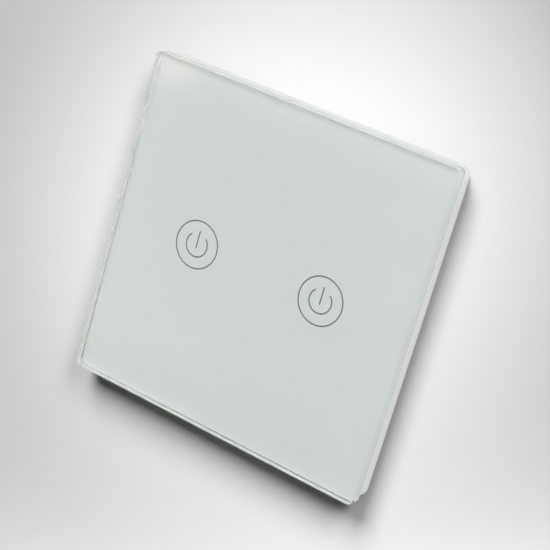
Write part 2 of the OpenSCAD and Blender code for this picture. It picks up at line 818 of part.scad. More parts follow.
module clamp_screw(i) {
  x = pole_x[i - 1];
  seat = box_back - well_d + fit;
  tip = box_back - tab_back_in + tab_gap / 2;
  drive_w = 0.7;
  drive_len = 1.4 * clamp_head_r;
  drive_d = 0.6 * clamp_head_h;
  color("#b4b7b9") difference() {
    union() {
      rod(x, tip, cage_z, clamp_screw_r, seat - tip);
      rod(x, seat, cage_z, clamp_head_r, clamp_head_h);
    }
    for (turn = [0, 90]) translate([x, 0, cage_z]) rotate([0, turn, 0])
      block(0, seat + clamp_head_h - drive_d, 0, drive_len, drive_d + cut, drive_w);
  }
}

glass_panel();
printed_film();
glue_seam();
touch_sign(-1);  // left_touch_sign
touch_sign(1);  // right_touch_sign
panel_frame();
mounting_plate();
rear_box();
housing_screws();
touch_board();
touch_spring(-1);  // left_touch_spring
touch_spring(1);  // right_touch_spring
light_shroud(-1);  // left_light_shroud
light_shroud(1);  // right_light_shroud
indicator_leds();
touch_chip();
touch_resistors();
socket_strip();
header_strip();
power_board();
transformer_core();
transformer_winding();
film_capacitor();
bulk_capacitor();
output_capacitor();
varistor();
fuse_resistor();
rectifier_bridge();
regulator_chip();
relay_base(-1);  // left_relay_base
relay_yoke(-1);  // left_relay_yoke
relay_coil(-1);  // left_relay_coil
relay_contact(-1);  // left_relay_contact
relay_cover(-1);  // left_relay_cover
relay_base(1);  // right_relay_base
relay_yoke(1);  // right_relay_yoke
relay_coil(1);  // right_relay_coil
relay_contact(1);  // right_relay_contact
relay_cover(1);  // right_relay_cover
relay_armature(-1);  // left_relay_armature
relay_armature(1);  // right_relay_armature
terminal_block();
for (i = [1 : pole_count]) {
  terminal_tab(i);
  clamp_cage(i);
  clamp_screw(i);
}
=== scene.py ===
# %% [markdown]
# This is a touch light switch for a wall box: a square pane of pale green glass with two printed signs,
# held in a shallow white frame that snaps onto a mounting plate. Behind the plate, a box with relays, a
# power supply and screw terminals sits in the wall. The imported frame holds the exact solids. This lesson
# gives each of them a finish, and models again those whose edges, glass or wire need a finer form.

import json
from math import cos, pi, radians, sin, tau

import bpy
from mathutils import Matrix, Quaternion, Vector


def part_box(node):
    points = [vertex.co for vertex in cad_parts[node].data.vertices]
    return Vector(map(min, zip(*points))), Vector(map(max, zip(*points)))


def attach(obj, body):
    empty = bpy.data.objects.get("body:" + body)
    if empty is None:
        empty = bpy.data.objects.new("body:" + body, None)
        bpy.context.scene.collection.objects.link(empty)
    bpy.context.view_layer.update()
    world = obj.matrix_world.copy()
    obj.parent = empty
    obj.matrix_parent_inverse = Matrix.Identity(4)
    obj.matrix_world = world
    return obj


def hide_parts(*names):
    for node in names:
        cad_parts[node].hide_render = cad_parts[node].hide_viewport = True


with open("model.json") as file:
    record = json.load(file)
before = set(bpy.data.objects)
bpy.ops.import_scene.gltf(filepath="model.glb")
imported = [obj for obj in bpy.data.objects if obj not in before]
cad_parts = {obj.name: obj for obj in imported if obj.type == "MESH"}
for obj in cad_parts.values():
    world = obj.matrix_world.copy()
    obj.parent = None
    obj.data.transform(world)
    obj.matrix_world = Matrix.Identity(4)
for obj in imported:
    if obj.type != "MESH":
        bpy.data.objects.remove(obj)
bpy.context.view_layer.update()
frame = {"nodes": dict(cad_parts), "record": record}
MM = 0.001
print("solids in the frame:", len(frame["nodes"]))

# %% [markdown]
# The camera comes first, because every later choice is judged through it. It could be placed by eye, but
# the photograph shows a square with known sides and two round signs, so its place follows from them: it
# stands to the right of the switch and a little above it, and it is tilted about its own line of sight.

# %% Camera
AIM = Vector((5.98, -7.58, 2.32)) * MM
AZIMUTH = radians(26.63)
ELEVATION = radians(16.47)
ROLL = radians(16.45)
DISTANCE = 375.84 * MM
LENS_MM = 101.77
SENSOR_MM = 36.0
NEAR_CLIP = 10 * MM


def direction(azimuth, elevation):
    """The way from the switch to something in front of it: azimuth to the right, elevation upwards."""
    level = cos(elevation)
    return Vector((sin(azimuth) * level, -cos(azimuth) * level, sin(elevation)))


def look_along(way):
    """The turn that makes a camera or a lamp look along a direction, with its top upwards."""
    return way.to_track_quat("-Z", "Y")


towards_camera = direction(AZIMUTH, ELEVATION)
bpy.ops.object.camera_add(location=AIM + towards_camera * DISTANCE)
camera = bpy.context.object
camera.rotation_euler = (look_along(-towards_camera) @ Quaternion((0, 0, 1), ROLL)).to_euler()
camera.data.lens = LENS_MM
camera.data.sensor_width = SENSOR_MM
camera.data.clip_start = NEAR_CLIP
bpy.context.scene.camera = camera
bpy.context.scene.view_settings.view_transform = "Standard"
print("camera at", [round(c / MM, 1) for c in camera.location], "mm")

# %% [markdown]
# Every finish is a small graph of shader nodes. Such a graph could be wired by hand, one link at a time,
# but its maths then gets hard to read. So a Value stands for one output of a node, and adding or
# multiplying values adds the Math nodes by itself.

# %% Values


class Value:
    """An output of a node. Arithmetic on values adds Math nodes to the same graph."""

    def __init__(self, graph, socket):
        self.graph = graph
        self.socket = socket

    def output(self, name):
        """Another output of the same node."""
        return Value(self.graph, self.socket.node.outputs[name])

    def math(self, operation, *terms):
        """A Math node over values and numbers."""
        return self.graph.add("Math", {"operation": operation}, dict(enumerate(terms)))

    def __add__(self, other):
        return self.math("ADD", self, other)

    def __radd__(self, other):
        return self.math("ADD", other, self)

    def __sub__(self, other):
        return self.math("SUBTRACT", self, other)

    def __rsub__(self, other):
        return self.math("SUBTRACT", other, self)

    def __mul__(self, other):
        return self.math("MULTIPLY", self, other)

    def __rmul__(self, other):
        return self.math("MULTIPLY", other, self)

    def __truediv__(self, other):
        return self.math("DIVIDE", self, other)

    def __pow__(self, other):
        return self.math("POWER", self, other)

    def above(self, limit):
        """One where the value is over a limit, and nothing elsewhere."""
        return self.math("GREATER_THAN", self, limit)

    def below(self, limit):
        """One where the value is under a limit, and nothing elsewhere."""
        return self.math("LESS_THAN", self, limit)

    def held(self, low, high):
        """The value, held between two limits."""
        return self.math("MINIMUM", self.math("MAXIMUM", self, low), high)

    def clamped(self):
        """The value, held between nothing and one."""
        return self.held(0.0, 1.0)

    def about(self, middle, spread):
        """A pattern that runs from nothing to one, moved to a middle and scaled to a spread."""
        return middle + spread * (self - 0.5)


print("a value takes part in sums, products and powers")

# %% [markdown]
# A Finish is the graph itself, of a material or of the world. One method adds any node, and short ones on
# top of it add what comes back often: a mix of two colours, a place on the piece, noise, relief, and the
# surface that ends the graph. Colours are written as they look on screen, and one function turns them
# into light.

# %% Finishes


def seen(red, green, blue):
    """A colour as it looks on screen, from 0 to 255, in the linear numbers that a shader takes."""
    parts = [level / 255 for level in (red, green, blue)]
    linear = [p / 12.92 if p <= 0.04045 else ((p + 0.055) / 1.055) ** 2.4 for p in parts]
    return (*linear, 1.0)


def shade(colour, factor):
    """The same colour, darker or lighter."""
    return (*[part * factor for part in colour[:3]], 1.0)


class Finish:
    """The graph of a material or of the world. The numbers are where a Mix node keeps its colours."""

    MIX_FIRST = 6
    MIX_SECOND = 7
    MIX_RESULT = 2

    def __init__(self, tree):
        self.tree = tree
        tree.nodes.clear()

    def add(self, kind, settings=None, sockets=None, output=0):
        """Add a node, set its settings first, and then give its sockets values or links."""
        node = self.tree.nodes.new("ShaderNode" + kind)
        for name, setting in (settings or {}).items():
            setattr(node, name, setting)
        for name, source in (sockets or {}).items():
            if isinstance(source, Value):
                self.tree.links.new(source.socket, node.inputs[name])
            else:
                node.inputs[name].default_value = source
        return Value(self, node.outputs[output]) if node.outputs else None

    def mix(self, share, first, second):
        """A colour between two colours."""
        sockets = {0: share, self.MIX_FIRST: first, self.MIX_SECOND: second}
        return self.add("Mix", {"data_type": "RGBA"}, sockets, self.MIX_RESULT)

    def vary(self, share, colour, darkest, palest):
        """A colour that changes between a darker and a paler shade of itself."""
        return self.mix(share, shade(colour, darkest), shade(colour, palest))

    def place(self):
        """Where a point lies on the piece, in metres."""
        return self.add("TexCoord", output="Object")

    def axes(self):
        """The same place, with an output for each of its three coordinates."""
        return self.add("SeparateXYZ", None, {0: self.place()})

    def noise(self, size, place=None, detail=2.0):
        """Cloudy noise whose lumps are about that size."""
        sockets = {"Vector": place or self.place(), "Scale": 1 / size, "Detail": detail}
        return self.add("TexNoise", None, sockets)

    def bump(self, height, depth):
        """Small relief of that depth."""
        return self.add("Bump", None, {"Strength": 1.0, "Distance": depth, "Height": height})

    def surface(self, sockets):
        """End the graph in one surface with those sockets."""
        self.add("OutputMaterial", None, {"Surface": self.add("BsdfPrincipled", None, sockets)})


def new_finish(name):
    """An empty material and its graph."""
    material = bpy.data.materials.new(name)
    material.use_nodes = True
    return material, Finish(material.node_tree)


print("half of white on screen is", round(seen(128, 128, 128)[0], 3), "of its light")

# %% [markdown]
# The switch hangs on a pale wall. In a studio such a wall is bright above the switch and falls off to the
# sides. Here that falloff of light is painted into the wall's colour by a short formula in two directions,
# which is smoother than a painted image. Far from the switch the painted light settles to a plain tone.
# From behind, and further out still, the wall lets the eye through, so that the back of the switch can be
# looked at too. Its paint is greyer than it looks and its lamps are stronger, so that the light of the room
# counts for less in the shadow.

# %% Wall paint
WALL_PAINT = (0.75, 0.75, 0.75, 1.0)
BLACK = (0.0, 0.0, 0.0, 1.0)
# Painted light from left to right, level with the switch, and how each further power of the height changes
# it
TONE_ACROSS = (0.959, -0.021, -0.693, 0.018, 0.262)
TONE_RISE = (0.154, 0.155, -0.554, -0.492)
TONE_BEND = (-0.528, 0.457, 0.937)
TONE_TWIST = (-0.476, -0.665)
TONE_END = 0.341
TONE_DARKEST = 0.45
TONE_PALEST = 0.97
TONE_PLAIN = 0.62
# In steps of this unit, how far out the plain tone and the clear wall start, and how soon they are complete
WALL_UNIT = 100 * MM
PLAIN_FROM = 1.15
PLAIN_OVER = 0.5
CLEAR_FROM = 3.0
CLEAR_OVER = 2.0


def curve(at, *terms):
    """A smooth curve: the first term, plus the next one times the place, and so on."""
    total = terms[-1]
    for term in reversed(terms[:-1]):
        total = total * at + term
    return total


def wall_finish():
    """Matt paint with a painted falloff of studio light, seen only from the front and not too far out."""
    material, finish = new_finish("pale_wall")
    spot = finish.axes()
    x = spot.output("X") / WALL_UNIT
    z = spot.output("Z") / WALL_UNIT
    # The wall's colour is painted light: bright above the switch and falling off to the sides.
    terms = [curve(x, *across) for across in (TONE_ACROSS, TONE_RISE, TONE_BEND, TONE_TWIST)]
    painted_falloff = curve(z, *terms, TONE_END).held(TONE_DARKEST, TONE_PALEST)
    far = (x * x + z * z) ** 0.5
    plain = ((far - PLAIN_FROM) / PLAIN_OVER).clamped()
    painted_falloff = TONE_PLAIN + (painted_falloff - TONE_PLAIN) * (1 - plain)
    solid = 1 - ((far - CLEAR_FROM) / CLEAR_OVER).clamped()
    facing = 1 - finish.add("NewGeometry", output="Backfacing")
    paint = finish.add("BsdfDiffuse", None, {"Color": finish.mix(painted_falloff, BLACK, WALL_PAINT)})
    clear = finish.add("BsdfTransparent")
    shader = finish.add("MixShader", None, {0: solid * facing, 1: clear, 2: paint})
    finish.add("OutputMaterial", None, {"Surface": shader})
    return material


wall_paint = wall_finish()
print("wall paint with", len(wall_paint.node_tree.nodes), "nodes")

# %% [markdown]
# The wall also catches the shadow of the switch. A plain plane would do from the front, but the box of
# the switch goes through the wall, so an inset leaves an opening behind the mounting plate. Light that
# the wall throws back would brighten the sides of the switch, so rays from dull surfaces pass the wall
# by.

# %% Wall
WALL_SIZE = 1200 * MM
WALL_OPENING = 72 * MM
WALL_BEHIND = 0.05 * MM


def deselect_all():
    """Leave edit mode, and select nothing."""
    if bpy.context.object and bpy.context.object.mode != "OBJECT":
        bpy.ops.object.mode_set(mode="OBJECT")
    bpy.ops.object.select_all(action="DESELECT")


deselect_all()
bpy.ops.mesh.primitive_plane_add(size=WALL_SIZE, location=(0, WALL_BEHIND, 0), rotation=(pi / 2, 0, 0))
wall = bpy.context.object
wall.name = "wall"
bpy.ops.object.transform_apply()
bpy.ops.object.mode_set(mode="EDIT")
bpy.ops.mesh.inset(thickness=(WALL_SIZE - WALL_OPENING) / 2)
bpy.ops.mesh.delete(type="FACE")
bpy.ops.object.mode_set(mode="OBJECT")
wall.data.materials.append(wall_paint)
wall.visible_diffuse = False
print("wall with", len(wall.data.polygons), "faces round its opening")

# %% [markdown]
# Two soft lamps high on the left and on the right light the wall, and so throw the soft shadow under the
# switch. The switch itself has lamps of its own, in front and on the right, as a product photograph often
# has: with light linking each lamp reaches only what it is meant for. Two weak lamps behind serve the
# views of the back, and the wall is no obstacle to any lamp that isn't meant for it.

# %% Lamps
NEAR_LAMP = 1600 * MM
FAR_LAMP = 3200 * MM
FRONT_WAY = direction(radians(-14), radians(34))
RIGHT_WAY = direction(radians(70), radians(4))


def add_softbox(name, way, distance, width, height, watts):
    """A soft lamp that looks at the middle of the switch and is not seen itself."""
    way = Vector(way).normalized()
    bpy.ops.object.light_add(type="AREA", location=way * distance, rotation=look_along(-way).to_euler())
    lamp = bpy.context.object
    lamp.name = name
    lamp.data.shape = "RECTANGLE"
    lamp.data.size = width
    lamp.data.size_y = height
    lamp.data.energy = watts
    lamp.visible_camera = False
    lamp.visible_glossy = False
    return lamp


def link_lamp(lamp, state):
    """Let a lamp reach only the wall, or everything else, and then through the wall too."""
    group = bpy.data.collections.new(lamp.name + "_reach")
    group.objects.link(wall)
    group.collection_objects[0].light_linking.link_state = state
    lamp.light_linking.receiver_collection = group
    if state == "EXCLUDE":
        lamp.light_linking.blocker_collection = group
    print(lamp.name, "at", [round(c / MM) for c in lamp.location], "mm:", state.lower(), "wall")


LAMPS = [
    ("wall_lamp_left", (-0.38, -1.0, 1.19), NEAR_LAMP, 760 * MM, 950 * MM, 42.5, "INCLUDE"),
    ("wall_lamp_right", (0.96, -1.0, 1.36), NEAR_LAMP, 380 * MM, 880 * MM, 19.8, "INCLUDE"),
    ("front_lamp", FRONT_WAY, FAR_LAMP, 6000 * MM, 3800 * MM, 219.0, "EXCLUDE"),
    ("right_lamp", RIGHT_WAY, NEAR_LAMP, 1600 * MM, 1600 * MM, 21.0, "EXCLUDE"),
    ("rear_lamp", (0.0, 1.0, 0.0), NEAR_LAMP, 700 * MM, 700 * MM, 15.0, "EXCLUDE"),
    ("low_lamp", (-0.5, 1.0, -0.25), NEAR_LAMP, 900 * MM, 900 * MM, 9.0, "EXCLUDE"),
]
for *lamp_form, state in LAMPS:
    link_lamp(add_softbox(*lamp_form), state)

# %% [markdown]
# The room gives only a little light, so that the shadow stays deep. What the glass mirrors is a pale room
# with a small warm glow and a broad haze on the left, and only rays that have not yet met a dull surface
# see it.

# %% Room
ROOM_LIGHT = 0.035
ROOM_SEEN = (0.80, 0.81, 0.80, 1.0)
GLOW_WAY = direction(radians(-32.3), radians(-10.2))
GLOW_COLOUR = (3.0, 2.5, 2.4, 1.0)
GLOW_TIGHTNESS = 9000.0
HAZE_WAY = direction(radians(-36), radians(-21))
HAZE_COLOUR = (1.9, 1.85, 1.7, 1.0)
HAZE_TIGHTNESS = 90.0

world = bpy.data.worlds.new("studio")
bpy.context.scene.world = world
world.use_nodes = True
room = Finish(world.node_tree)


def spot_of_light(towards, tightness):
    """How near a ray comes to a direction: one along it, and fading round it."""
    ray_way = room.add("TexCoord", output="Generated")
    near = room.add("VectorMath", {"operation": "DOT_PRODUCT"}, {0: ray_way, 1: towards}, "Value")
    return near.math("MAXIMUM", near, 0.0) ** tightness


from_camera = room.add("LightPath", output="Is Camera Ray")
mirrored = (from_camera.output("Is Glossy Ray") + from_camera.output("Is Transmission Ray")).clamped()
no_bounce = 1 - from_camera.output("Diffuse Depth").clamped()
glow = spot_of_light(GLOW_WAY, GLOW_TIGHTNESS) * mirrored
haze = spot_of_light(HAZE_WAY, HAZE_TIGHTNESS) * mirrored
pale = room.mix(glow, room.mix(haze, ROOM_SEEN, HAZE_COLOUR), GLOW_COLOUR)
lit_room = room.add("Background", None, {"Strength": ROOM_LIGHT})
seen_room = room.add("Background", None, {"Color": pale})
looked_at = (from_camera + mirrored).clamped() * no_bounce
sky = room.add("MixShader", None, {0: looked_at, 1: lit_room, 2: seen_room})
room.add("OutputWorld", None, {"Surface": sky})
print("room with", len(world.node_tree.nodes), "nodes")

# %% [markdown]
# Most of the switch is moulded plastic. It is never one flat colour: the mould leaves a fine grain, and
# the melt flows into faint clouds. One function gives that finish in any colour, with the grain in the
# relief and in the gloss. Dipped coats, shrunk sleeves and ferrite take it too, with a coarser grain.

# %% Moulded plastics
MELT_CLOUD = 14 * MM
MELT_SHADES = (0.97, 1.02)
GRAIN_DETAIL = 4.0
GRAIN_GLOSS = 0.14


def moulded_plastic(name, colour, rough, grain=0.22 * MM, depth=0.006 * MM):
    """Plastic from a mould, with lumps of grain of that size and depth."""
    material, finish = new_finish(name)
    speck = finish.noise(grain, detail=GRAIN_DETAIL)
    sockets = {
        "Base Color": finish.vary(finish.noise(MELT_CLOUD), colour, *MELT_SHADES),
        "Roughness": speck.about(rough, GRAIN_GLOSS),
        "Normal": finish.bump(speck, depth),
    }
    finish.surface(sockets)
    return material


PLASTICS = {
    "white_plastic": {"colour": seen(243, 244, 241), "rough": 0.34, "depth": 0.003 * MM},
    "plate_plastic": {"colour": seen(232, 233, 229), "rough": 0.50},
    "box_plastic": {"colour": seen(222, 224, 220), "rough": 0.55, "grain": 0.3 * MM, "depth": 0.012 * MM},
    "block_plastic": {"colour": seen(228, 229, 225), "rough": 0.48},
    "black_plastic": {"colour": seen(38, 39, 41), "rough": 0.55},
    "shroud_plastic": {"colour": seen(243, 243, 236), "rough": 0.45},
    "yellow_case": {"colour": seen(214, 172, 60), "rough": 0.40},
    "blue_coat": {"colour": seen(52, 98, 158), "rough": 0.32, "grain": 0.8 * MM, "depth": 0.02 * MM},
    "green_coat": {"colour": seen(112, 142, 92), "rough": 0.34, "grain": 0.6 * MM, "depth": 0.015 * MM},
    "relay_blue": {"colour": seen(38, 86, 162), "rough": 0.36},
    "lamp_resin": {"colour": seen(232, 226, 196), "rough": 0.18, "depth": 0.001 * MM},
    "dark_sleeve": {"colour": seen(44, 54, 78), "rough": 0.28, "grain": 1.2 * MM, "depth": 0.01 * MM},
    "ferrite": {"colour": seen(62, 64, 68), "rough": 0.62, "grain": 0.4 * MM, "depth": 0.03 * MM},
}
finishes = {name: moulded_plastic(name, **look) for name, look in PLASTICS.items()}
print("moulded:", ", ".join(finishes))

# %% [markdown]
# The metal pieces are zinc-plated steel, relay iron, and brass that is tinned or gold-plated. Plating
# keeps the fine lines of the drawn or rolled metal under it, so the noise is stretched along one axis,
# and the lines change the gloss more than the colour.

# %% Metals
LINE_STRETCH = 12.0
LINE_DETAIL = 3.0
LINE_GLOSS = 0.20
TARNISH_SIZE = 2.5 * MM
TARNISH_SHADES = (0.90, 1.04)
TARNISH_GLOSS = 0.10


def plated_metal(name, colour, rough, line=0.12 * MM, depth=0.002 * MM):
    """Plated metal, with drawn lines of that width and depth and a faint tarnish."""
    material, finish = new_finish(name)
    squeeze = {"Vector": finish.place(), "Scale": (1.0, 1 / LINE_STRETCH, 1.0)}
    lines = finish.noise(line, finish.add("Mapping", None, squeeze), LINE_DETAIL)
    tarnish = finish.noise(TARNISH_SIZE)
    sockets = {
        "Base Color": finish.vary(tarnish, colour, *TARNISH_SHADES),
        "Metallic": 1.0,
        "Roughness": lines.about(rough, LINE_GLOSS) + tarnish.about(0.0, TARNISH_GLOSS),
        "Normal": finish.bump(lines, depth),
    }
    finish.surface(sockets)
    return material


METALS = {
    "zinc_steel": {"colour": seen(206, 209, 212), "rough": 0.32},
    "relay_iron": {"colour": seen(160, 163, 166), "rough": 0.45},
    "plated_brass": {"colour": seen(214, 190, 138), "rough": 0.34},
    "spring_wire": {"colour": seen(226, 192, 112), "rough": 0.26, "line": 0.08 * MM},
}
finishes.update({name: plated_metal(name, **look) for name, look in METALS.items()})
print("finishes so far:", len(finishes))

# %% [markdown]
# A circuit board shows its copper tracks as paler lines under the lacquer, and bare tinned pads. An image
# could carry a real layout, but a pattern does here. Tracks run square to each other in patches, so a
# cell pattern says which way each patch runs, and its middle is a pad.

# %% Circuit boards
PATCH_SIZE = 5.5 * MM
PATCH_DISORDER = 0.8
PAD_REACH = 0.13
PAD_METAL = 0.8
TRACK_PITCH = 1.3 * MM
TRACK_REACH = 0.2
TRACK_SHOWS = 0.7
TRACK_GLOSS = 0.06
WEAVE_SIZE = 0.3 * MM
WEAVE_SHOWS = 0.2
WEAVE_GLOSS = 0.10
WEAVE_HEIGHT = 0.3
PAD_HEIGHT = 2.0
BOARD_RELIEF = 0.02 * MM
LACQUER_ROUGH = 0.34


def circuit_board(name, lacquer, track, tin):
    """Patches of tracks that run along or across the board, with a square pad in the middle of each."""
    material, finish = new_finish(name)
    spot = finish.axes()
    cells = {"Vector": finish.place(), "Scale": 1 / PATCH_SIZE, "Randomness": PATCH_DISORDER}
    patch = finish.add("TexVoronoi", {"distance": "CHEBYCHEV", "feature": "F1"}, cells)
    across = finish.add("SeparateColor", None, {0: patch.output("Color")}).above(0.5)
    lane = (spot.output("X") * across + spot.output("Z") * (1 - across)) / TRACK_PITCH
    lane = lane.math("FRACT", lane)
    tracks = lane.math("COMPARE", lane, 0.5, TRACK_REACH)
    pads = patch.below(PAD_REACH)
    weave = finish.noise(WEAVE_SIZE, detail=1.0)
    lacquered = finish.mix(TRACK_SHOWS * tracks + WEAVE_SHOWS * weave, lacquer, track)
    sockets = {
        "Base Color": finish.mix(pads, lacquered, tin),
        "Metallic": PAD_METAL * pads,
        "Roughness": weave.about(LACQUER_ROUGH, WEAVE_GLOSS) - TRACK_GLOSS * tracks,
        "Normal": finish.bump(tracks + PAD_HEIGHT * pads + WEAVE_HEIGHT * weave, BOARD_RELIEF),
    }
    finish.surface(sockets)
    return material


BOARDS = {
    "green_board": (seen(34, 88, 52), seen(58, 122, 74), seen(200, 202, 200)),
    "tan_board": (seen(168, 132, 74), seen(190, 152, 90), seen(196, 196, 190)),
}
finishes.update({name: circuit_board(name, *colours) for name, colours in BOARDS.items()})
print("finishes so far:", len(finishes))

# %% [markdown]
# The coils are wound with copper wire, and the transformer is wrapped in tape. Single turns could be
# modelled, but they are too fine to be seen one by one, so a winding is a row of narrow bands in colour
# and relief. The colour bands are painted shade, darkest where two turns meet.

# %% Windings
# At a scale of one, a pattern of bands runs through 20 radians in a metre
WAVE_TURN = 20 / tau
TURN_SHOWS = 0.75
WIRE_CLOUD = 1.5 * MM
WIRE_PALEST = 1.05
WIRE_GLOSS = 0.15
WINDING_RELIEF = 0.05 * MM


def wound(name, colour, rough, pitch, metallic, darkest):
    """Turns of wire or tape at that pitch, with painted shade darkest where two of them meet."""
    material, finish = new_finish(name)
    settings = {"wave_type": "BANDS", "bands_direction": "Y", "wave_profile": "SIN"}
    bands = {"Vector": finish.place(), "Scale": 1 / (pitch * WAVE_TURN), "Distortion": 0.0}
    turns = finish.add("TexWave", settings, bands, "Fac")
    cloud = finish.noise(WIRE_CLOUD)
    # The colour bands are painted shade, darkest in the groove where two turns meet
    share = TURN_SHOWS * turns + (1 - TURN_SHOWS) * cloud
    sockets = {
        "Base Color": finish.vary(share, colour, darkest, WIRE_PALEST),
        "Metallic": metallic,
        "Roughness": cloud.about(rough, WIRE_GLOSS),
        "Normal": finish.bump(turns, WINDING_RELIEF),
    }
    finish.surface(sockets)
    return material


COPPER = {"colour": seen(196, 112, 66), "rough": 0.35, "metallic": 1.0}
TAPE = {"colour": seen(214, 178, 62), "rough": 0.40, "metallic": 0.0}
finishes["copper_wire"] = wound("copper_wire", **COPPER, pitch=0.16 * MM, darkest=0.55)
finishes["yellow_tape"] = wound("yellow_tape", **TAPE, pitch=2.4 * MM, darkest=0.85)
print("finishes so far:", len(finishes))

# %% [markdown]
# The face is a print on the back of the glass: a pale grey-green ground and two darker signs. On the real
# pane the ink lies against the glass with no air between, so it has almost no gloss of its own, and its
# colour drifts a little across the face.

# %% Print on the glass
GROUND = seen(235, 239, 236)
INK = seen(108, 117, 110)
INK_CLOUD = 30 * MM
INK_CLOUD_SHOWS = 0.8
INK_SPECK = 0.15 * MM
INK_ROUGH = 0.6
INK_GLOSS = 0.1
INK_SHINE = 0.05


def matt_surface(finish, colour, speck):
    """End a graph in ink or glue that lies against the glass."""
    rough = speck.about(INK_ROUGH, INK_GLOSS)
    finish.surface({"Base Color": colour, "Roughness": rough, "Specular IOR Level": INK_SHINE})


def print_finish(name, colour, drift):
    """Ink whose colour drifts up and down by that share."""
    material, finish = new_finish(name)
    cloud = finish.noise(INK_CLOUD)
    speck = finish.noise(INK_SPECK)
    share = INK_CLOUD_SHOWS * cloud + (1 - INK_CLOUD_SHOWS) * speck
    matt_surface(finish, finish.vary(share, colour, 1 - drift, 1 + drift), speck)
    return material


finishes["pale_print"] = print_finish("pale_print", GROUND, drift=0.012)
finishes["grey_print"] = print_finish("grey_print", INK, drift=0.03)
print("finishes so far:", len(finishes))

# %% [markdown]
# A thin bead of glue runs round the print, between pane and frame. Its dark colour is painted shade for the
# shadowed gap there, and shows as a fine dark line. That painted shade is lighter in places: it fades up
# the left side and towards the lower left corner, and is pale along the whole right side.

# %% Glue bead with painted shade
# The dark colour is painted shade of the shadowed gap; the pale one is where that painted shade is lighter
GLUE_AND_GAP_SHADE = seen(58, 66, 61)
LIT_GLUE = seen(206, 211, 207)
GLUE_LIT_SHARE = 0.6
# Each run of the bead goes straight up to where the corners of the pane begin
GLASS_CORNER = 1.2 * MM
GLUE_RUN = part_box("glass_panel")[1].x - GLASS_CORNER


def glue_shade_finish(name):
    """A bead whose painted shade is dark in most places and paler in others."""
    material, finish = new_finish(name)
    spot = finish.axes()
    across = spot.output("X")
    height = spot.output("Z")
    on_the_right = across.above(GLUE_RUN)
    off_the_top = (across.below(-GLUE_RUN) + height.below(GLUE_RUN)).clamped()
    upward = (0.5 + height / (2 * GLUE_RUN)).clamped()
    leftward = (across / -GLUE_RUN).clamped()
    # Painted light: the bead is paler up the left side, towards the lower left corner and along the right
    # side
    painted_light = on_the_right + upward * off_the_top + GLUE_LIT_SHARE * height.below(-GLUE_RUN) * leftward
    matt_surface(finish, finish.mix(painted_light.clamped(), GLUE_AND_GAP_SHADE, LIT_GLUE), finish.noise(INK_SPECK))
    return material


finishes["seam_glue"] = glue_shade_finish("seam_glue")
print("finishes so far:", len(finishes))

# %% [markdown]
# The glass itself bends light as real glass does. That draws the fine bright lines along the edges of the
# photograph, where the polished sides mirror the print; the dark line beside them is the glue's painted
# shade. A thin green tint lies in its depth, so that it gathers along the edges and hardly shows on the
# face.

# %% Clear glass
GLASS_IOR = 1.5
GLASS_TINT = (0.70, 0.90, 0.78, 1.0)
GLASS_DENSITY = 9.0
SMUDGE_SIZE = 11 * MM
SMUDGE_DETAIL = 3.0
SMUDGE_ROUGH = 0.012


def clear_glass(name):
    """Glass with a tint in its depth and the faintest smudges on its faces."""
    material, finish = new_finish(name)
    sockets = {
        "Roughness": SMUDGE_ROUGH * finish.noise(SMUDGE_SIZE, detail=SMUDGE_DETAIL),
        "IOR": GLASS_IOR,
        "Transmission Weight": 1.0,
        "Base Color": (1.0, 1.0, 1.0, 1.0),
    }
    glass = finish.add("BsdfPrincipled", None, sockets)
    depth = finish.add("VolumeAbsorption", None, {"Color": GLASS_TINT, "Density": GLASS_DENSITY})
    finish.add("OutputMaterial", None, {"Surface": glass, "Volume": depth})
    return material


finishes["clear_glass"] = clear_glass("clear_glass")
print("all", len(finishes), "finishes are ready")

# %% [markdown]
# The solids that keep their shape only need their finish. The record says which slot each of them takes,
# so one loop dresses them all, and the pieces that are modelled again further down hide theirs.

# %% Dress the solids


def dress(piece, slot):
    """Give a piece the finish of a slot and nothing else."""
    piece.data.materials.clear()
    piece.data.materials.append(finishes[slot])


slots = {part["node"]: part["material_slot"] for part in frame["record"]["subparts"]}
for node, slot in slots.items():
    dress(frame["nodes"][node], slot)
print("dressed", len(slots), "solids")

# %% [markdown]
# Modelling by hand is a round of the same few moves: pick one piece, select some of its edges, bevel
# them, smooth the shading, and put the finished piece on its body. Each move gets a short function here,
# which the pieces below share.

# %% Modelling moves
SMOOTH_BELOW = radians(35)
LARGE_FACES_WIN = 100


def pick(piece):
    """Make a piece the only one that is selected, and the active one."""
    deselect_all()
    piece.select_set(True)
    bpy.context.view_layer.objects.active = piece


def select_edges(piece, wanted):
    """Go into edit mode with just those edges selected whose two ends are wanted."""
    pick(piece)
    bpy.ops.object.mode_set(mode="EDIT")
    bpy.ops.mesh.select_mode(type="EDGE")
    bpy.ops.mesh.select_all(action="DESELECT")
    bpy.ops.object.mode_set(mode="OBJECT")
    points = piece.data.vertices
    for edge in piece.data.edges:
        edge.select = wanted(*[points[i].co for i in edge.vertices])
    bpy.ops.object.mode_set(mode="EDIT")


def bevel_selected(width, steps):
    """Round off the selected edges in a few steps, and leave edit mode."""
    bpy.ops.mesh.bevel(offset=width, offset_type="OFFSET", segments=steps, affect="EDGES")
    bpy.ops.object.mode_set(mode="OBJECT")


def smooth(piece, angle=SMOOTH_BELOW):
    """Round off the shading of small faces, and keep the large ones flat."""
    pick(piece)
    bpy.ops.object.shade_smooth_by_angle(angle=angle)
    flat = piece.modifiers.new("flat_faces", "WEIGHTED_NORMAL")
    flat.weight = LARGE_FACES_WIN
    flat.keep_sharp = True
    bpy.ops.object.modifier_apply(modifier=flat.name)


def place_piece(piece, body, slot, *nodes):
    """Let a finished piece ride on its body, take its finish and stand for its solids."""
    dress(piece, slot)
    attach(piece, body)
    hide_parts(*nodes)
    print(piece.name, "has", len(piece.data.polygons), "faces")


